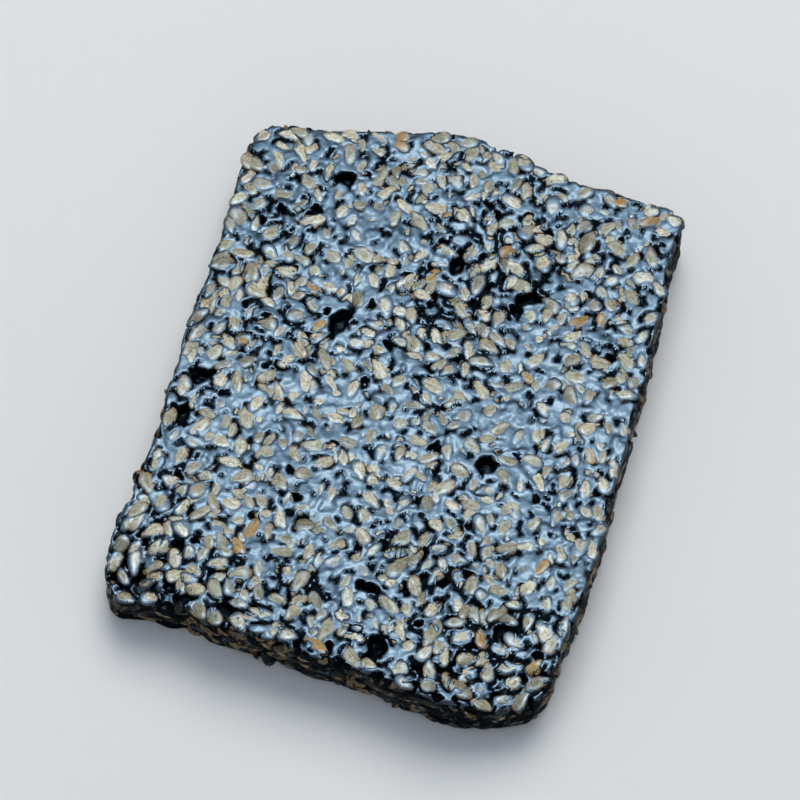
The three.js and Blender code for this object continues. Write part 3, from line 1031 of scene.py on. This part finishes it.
def dull_painted_shade_finish(name, glints, roughness):
    """Black, dull syrup of the hollows and cut walls: its low gloss is painted shade, its bluish black a
    painted reflection of the blue glow, and a coat in some places glints.
    """
    finish = Finish(name)
    # Bluish black: painted reflection of the blue glow.
    tints = [(0.35, (0.0006, 0.001, 0.0014)), (0.75, (0.002, 0.004, 0.006))]
    rough = finish.bump(finish.noise(1100, detail=4.0), roughness)
    return finish.shade({
        "Base Color": finish.ramp(finish.noise(600), tints),
        "Roughness": finish.ramp(finish.noise(700), [(0.35, grey(0.2)), (0.6, grey(0.6))]),
        "IOR": 1.45,
        # So little gloss is painted shade: it keeps reflections off the hollows and walls.
        "Specular IOR Level": 0.015,
        "Coat Weight": finish.ramp(finish.noise(700, detail=2.0), [(0.56, grey(0)), (0.63, grey(glints))]),
        "Coat Roughness": 0.12,
        "Normal": rough,
        "Coat Normal": rough,
    })


PALE = [
    (0.0, (0.25, 0.212, 0.128)),
    (0.25, (0.43, 0.386, 0.26)),
    (0.65, (0.61, 0.566, 0.41)),
    (1.0, (0.9, 0.86, 0.68)),
]
GOLDEN = [(0.0, (0.42, 0.235, 0.06)), (1.0, (0.62, 0.39, 0.12))]
# Tones of the wall seeds: stained by syrup, and darkened further as painted shade.
STAINED_AND_PAINTED_SHADE = [(0.0, (0.07, 0.056, 0.035)), (1.0, (0.37, 0.315, 0.22))]
BROWN = (0.26, 0.175, 0.085)
BLACK = (0.010, 0.008, 0.006)

# Shades that a seed's tone is multiplied by: in its streaks, in small spots, and from tip to tip.
WHITE = grey(1)
STREAKED = [(0.32, (0.56, 0.5, 0.41)), (0.58, WHITE)]
MOTTLED = [(0.32, (0.6, 0.54, 0.45)), (0.6, WHITE)]
TIPPED = [(0.06, (0.84, 0.6, 0.33)), (0.25, WHITE), (0.85, WHITE), (0.97, (0.84, 0.69, 0.48))]
STREAKS = (2.0, 8.0, 90.0)  # number along a seed and across it, and how much they differ with its tone
FILM_PATCHES = 1.8  # how uneven the film on a seed is
BARE_GLOSS = 0.15  # gloss of a bare seed, as a share of its film's

# Between which films a seed gets brown, black and glossy, measured from the most that leaves it clean.
BROWN_FROM, BROWN_TO = -0.1, 0.1
BLACK_FROM, BLACK_TO = 0.05, 0.25
GLOSS_FROM, GLOSS_TO = -0.45, 0.05


def seed_finish(name, tones, clean, gloss):
    """Hulled seed with its own tone, streaks, spots, browner tips and a film of syrup."""
    finish = Finish(name)
    marks = finish.add("Attribute", attribute_name="seed_marks").outputs
    parts = finish.add("SeparateColor", {"Color": marks["Color"]}).outputs
    tone, along, film = parts["Red"], parts["Green"], parts["Blue"]
    place = finish.add("CombineXYZ", {"X": along, "Y": marks["Alpha"], "Z": tone}).outputs[0]
    stretched = finish.add("VectorMath", {0: place, 1: STREAKS}, operation="MULTIPLY").outputs[0]
    streaks = finish.noise(1.0, detail=4.0, place=stretched)
    spots = finish.noise(2600, detail=2.0)
    colour = finish.ramp(tone, tones)
    for value, shades in ((streaks, STREAKED), (spots, MOTTLED), (along, TIPPED)):
        colour = finish.mix(1.0, colour, finish.ramp(value, shades), "MULTIPLY")
    patchy = {0: finish.noise(800), 1: FILM_PATCHES, 2: film}
    film = finish.add("Math", patchy, operation="MULTIPLY_ADD").outputs[0]
    colour = finish.mix(finish.between(film, clean + BROWN_FROM, clean + BROWN_TO), colour, BROWN)
    colour = finish.mix(finish.between(film, clean + BLACK_FROM, clean + BLACK_TO), colour, BLACK)
    bare_gloss = BARE_GLOSS * gloss
    return finish.shade({
        "Base Color": colour,
        "Roughness": 0.5,
        "Specular IOR Level": bare_gloss,
        "Coat Weight": finish.between(film, clean + GLOSS_FROM, clean + GLOSS_TO, bare_gloss, gloss),
        "Coat Roughness": 0.16,
        "Normal": finish.bump(streaks, 0.06 * MM),
    })


def floor_finish():
    finish = Finish("pale_floor")
    tints = [(0.3, (0.88, 0.875, 0.87)), (0.7, (0.91, 0.905, 0.9))]
    return finish.shade({"Base Color": finish.ramp(finish.noise(9), tints), "Roughness": 0.7})


# Pieces

# First numbers of the draws for the seeds' shapes and tones.
PALE_DRAWS, GOLDEN_DRAWS, STAINED_DRAWS = 300, 5300, 9300


def add_piece(mesh, materials):
    for material in materials:
        mesh.materials.append(material)
    piece = bpy.data.objects.new(mesh.name, mesh)
    bpy.context.scene.collection.objects.link(piece)
    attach(piece, "root")
    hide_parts("sesame_cake")


def add_seeds(name, seeds, first_draw, finish, rim_film=1.0):
    """A piece of seeds, with this much film at their outlines."""
    add_piece(seed_mesh(name, seeds, first_draw, rim_film), [finish])


def build_cake():
    top, walls, under = top_seeds(), wall_seeds(), under_seeds()
    golden = draw(np.arange(len(top.middle)) + 0.77) < GOLDEN_SHARE
    bare = ~covered(len(top.middle))
    # Hollows get a dull finish: painted shade where their walls would block reflections.
    hollow = dull_painted_shade_finish("hollow_syrup_painted_shade", glints=0.1, roughness=0.14 * MM)
    # Cut walls: rough and dull as cut, and darker still than their lighting gives, as painted shade.
    cut = dull_painted_shade_finish("cut_syrup_painted_shade", glints=0.8, roughness=1.8 * MM)
    add_piece(syrup_mesh(top), [syrup_finish(), hollow, cut])
    pale = top.some(bare & ~golden).and_others(under)
    add_seeds("pale_seeds", pale, PALE_DRAWS, seed_finish("pale_seed", PALE, clean=1.71, gloss=0.9))
    finish = seed_finish("golden_seed", GOLDEN, clean=1.75, gloss=0.9)
    add_seeds("golden_seeds", top.some(bare & golden), GOLDEN_DRAWS, finish)
    # Wall seeds: stained by syrup, and darker and less glossy than lit seeds as painted shade.
    finish = seed_finish("stained_seed_painted_shade", STAINED_AND_PAINTED_SHADE, clean=1.02, gloss=0.2)
    add_seeds("wall_seeds", walls, STAINED_DRAWS, finish, rim_film=0.25)


# Stage

def add_floor():
    mesh = bpy.data.meshes.new("floor")
    corners = [(x * FLOOR_REACH, y * FLOOR_REACH, 0) for x, y in ((-1, -1), (1, -1), (1, 1), (-1, 1))]
    mesh.from_pydata(corners, [], [(0, 1, 2, 3)])
    mesh.materials.append(floor_finish())
    floor = bpy.data.objects.new("floor", mesh)
    bpy.context.scene.collection.objects.link(floor)


def direction(azimuth, elevation):
    """From the middle of the cake towards a viewpoint. Azimuth 0 stands in front, at -Y."""
    a, e = math.radians(azimuth), math.radians(elevation)
    return Vector((math.sin(a) * math.cos(e), -math.cos(a) * math.cos(e), math.sin(e)))


def add_key():
    """A large soft light behind the cake, which lights the matte faces."""
    light = bpy.data.lights.new("key_panel", "AREA")
    light.shape = "SQUARE"
    light.size = KEY_SIZE
    light.energy = KEY_STRENGTH * KEY_SIZE**2 * math.pi
    light.color = KEY_COLOUR
    box = bpy.data.objects.new("key_panel", light)
    back = direction(VIEW_AZIMUTH + KEY_TURN, KEY_ELEVATION)
    box.location = back * KEY_DISTANCE
    box.rotation_mode = "QUATERNION"
    box.rotation_quaternion = back.to_track_quat("Z", "Y")
    box.visible_glossy = False
    box.visible_camera = False
    bpy.context.scene.collection.objects.link(box)


def add_surround():
    """Pale light from all round, and for glossy faces a blue glow that is brightest nearly overhead."""
    world = bpy.data.worlds.new("soft_surround")
    world.use_nodes = True
    nodes = Nodes(world.node_tree)
    nodes.tree.nodes.clear()
    way = nodes.add("TexCoord").outputs["Generated"]
    middle = direction(VIEW_AZIMUTH + GLOW_TURN, GLOW_ELEVATION)
    angle = nodes.add("VectorMath", {0: way, 1: middle}, operation="DOT_PRODUCT").outputs["Value"]
    pale = nodes.add("Background", {"Color": SURROUND, "Strength": SURROUND_STRENGTH}).outputs[0]
    colour = nodes.ramp(angle, GLOW)
    glow = nodes.add("Background", {"Color": colour, "Strength": GLOW_STRENGTH}).outputs[0]
    glossy = nodes.add("LightPath").outputs["Is Glossy Ray"]
    mixed = nodes.add("MixShader", {"Fac": glossy, 1: pale, 2: glow}).outputs[0]
    nodes.add("OutputWorld", {"Surface": mixed})
    bpy.context.scene.world = world
    bpy.context.scene.view_settings.view_transform = "Standard"


def add_camera():
    data = bpy.data.cameras.new("camera")
    data.sensor_width = SENSOR
    data.lens = CLOSER * SENSOR / 2 / math.tan(math.radians(PHOTO_FIELD / 2))
    data.clip_start, data.clip_end = NEAREST_SEEN, FURTHEST_SEEN
    camera = bpy.data.objects.new("camera", data)
    back = direction(VIEW_AZIMUTH, VIEW_ELEVATION)
    camera.location = (Vector(VIEW_MIDDLE) + back * VIEW_DISTANCE) * MM
    roll = Matrix.Rotation(math.radians(VIEW_ROLL), 4, "Z")
    camera.rotation_euler = (back.to_track_quat("Z", "Y").to_matrix().to_4x4() @ roll).to_euler()
    bpy.context.scene.collection.objects.link(camera)
    bpy.context.scene.camera = camera


build_cake()
add_floor()
add_key()
add_surround()
add_camera()
